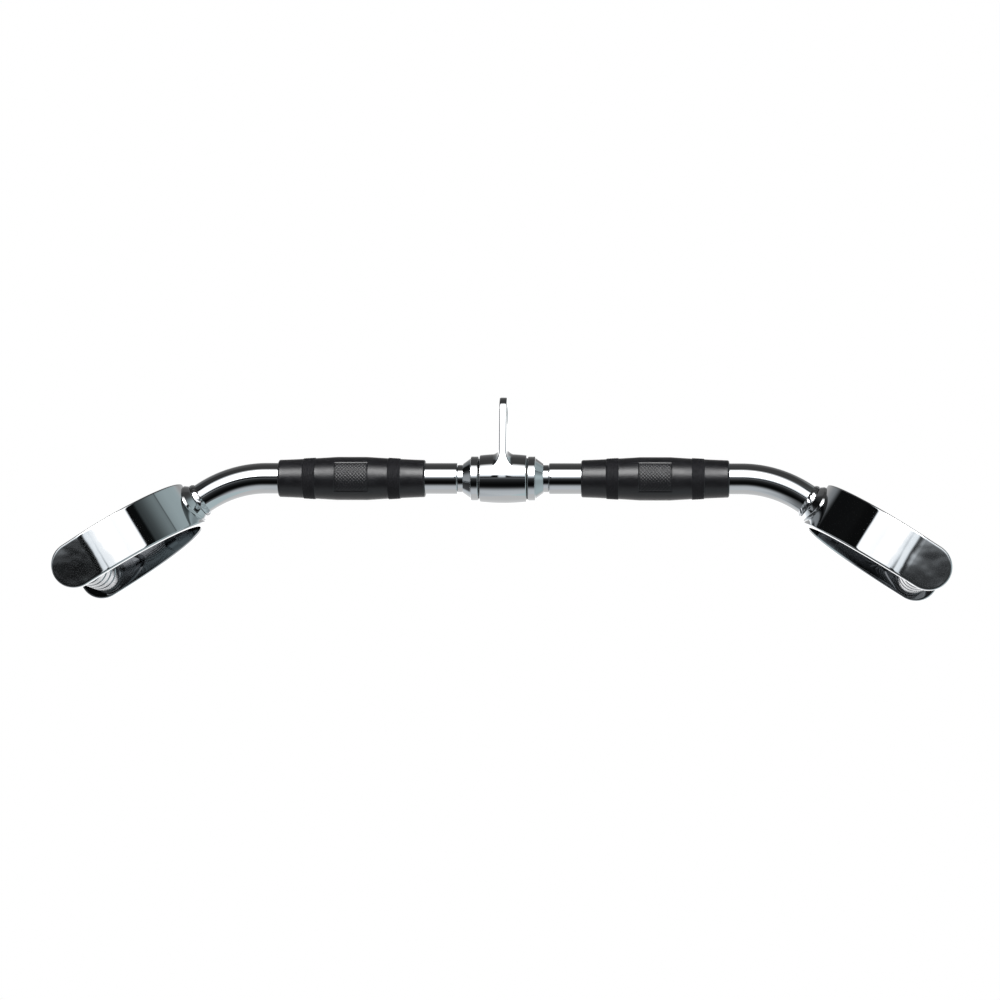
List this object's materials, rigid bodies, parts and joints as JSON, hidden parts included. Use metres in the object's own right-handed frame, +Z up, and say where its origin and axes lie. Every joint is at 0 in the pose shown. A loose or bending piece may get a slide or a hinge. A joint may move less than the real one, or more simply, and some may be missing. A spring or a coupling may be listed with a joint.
{
  "type": "lat pulldown bar",
  "caption": "Bent chrome pulldown bar on a revolving cable eye, with rubber grips on the tube and a stirrup with a turning hand grip at each end.",
  "frame": {"origin": "centre of the eye in the swivel lug", "axes": "+X along the bar to its right end, +Y away from the viewer, +Z up"},
  "size_m": [0.714, 0.1396, 0.1608],
  "materials": {
    "chrome_plate": "mirror bright plating on steel",
    "plated_weld": "plated over an uneven weld",
    "axle_steel": "turned, bare",
    "knurled_chrome": "bright plating over fine knurling, with turned rings near the ends",
    "bush_bronze": "plain bearing bronze",
    "bush_nylon": "moulded, matte",
    "grip_rubber": "moulded, satin, with raised bands and a patterned pad"
  },
  "bodies": {
    "swivel": {"swivel_eye": "chrome_plate", "swivel_bush_left": "bush_bronze", "swivel_bush_right": "bush_bronze"},
    "bar": {"centre_spindle": "chrome_plate", "stop_collar_left": "chrome_plate", "stop_collar_right": "chrome_plate", "bar_tube_left": "chrome_plate", "bar_tube_right": "chrome_plate", "rubber_grip_left": "grip_rubber", "rubber_grip_right": "grip_rubber", "end_boss_left": "chrome_plate", "end_boss_right": "chrome_plate", "weld_bead_left": "plated_weld", "weld_bead_right": "plated_weld", "stirrup_strap_left": "chrome_plate", "stirrup_strap_right": "chrome_plate", "handle_axle_left": "axle_steel", "handle_axle_right": "axle_steel"},
    "left_grip": {"hand_grip_left": "knurled_chrome", "grip_bush_left_front": "bush_nylon", "grip_bush_left_back": "bush_nylon"},
    "right_grip": {"hand_grip_right": "knurled_chrome", "grip_bush_right_front": "bush_nylon", "grip_bush_right_back": "bush_nylon"}
  },
  "joints": [
    {"name": "swivel_turn", "type": "hinge", "parent": "swivel", "child": "bar", "pos_m": [0, 0, -0.052], "axis": [1, 0, 0], "continuous": true},
    {"name": "left_grip_turn", "type": "hinge", "parent": "bar", "child": "left_grip", "pos_m": [-0.3361, 0, -0.12657], "axis": [0, 1, 0], "continuous": true},
    {"name": "right_grip_turn", "type": "hinge", "parent": "bar", "child": "right_grip", "pos_m": [0.3361, 0, -0.12657], "axis": [0, 1, 0], "continuous": true}
  ]
}
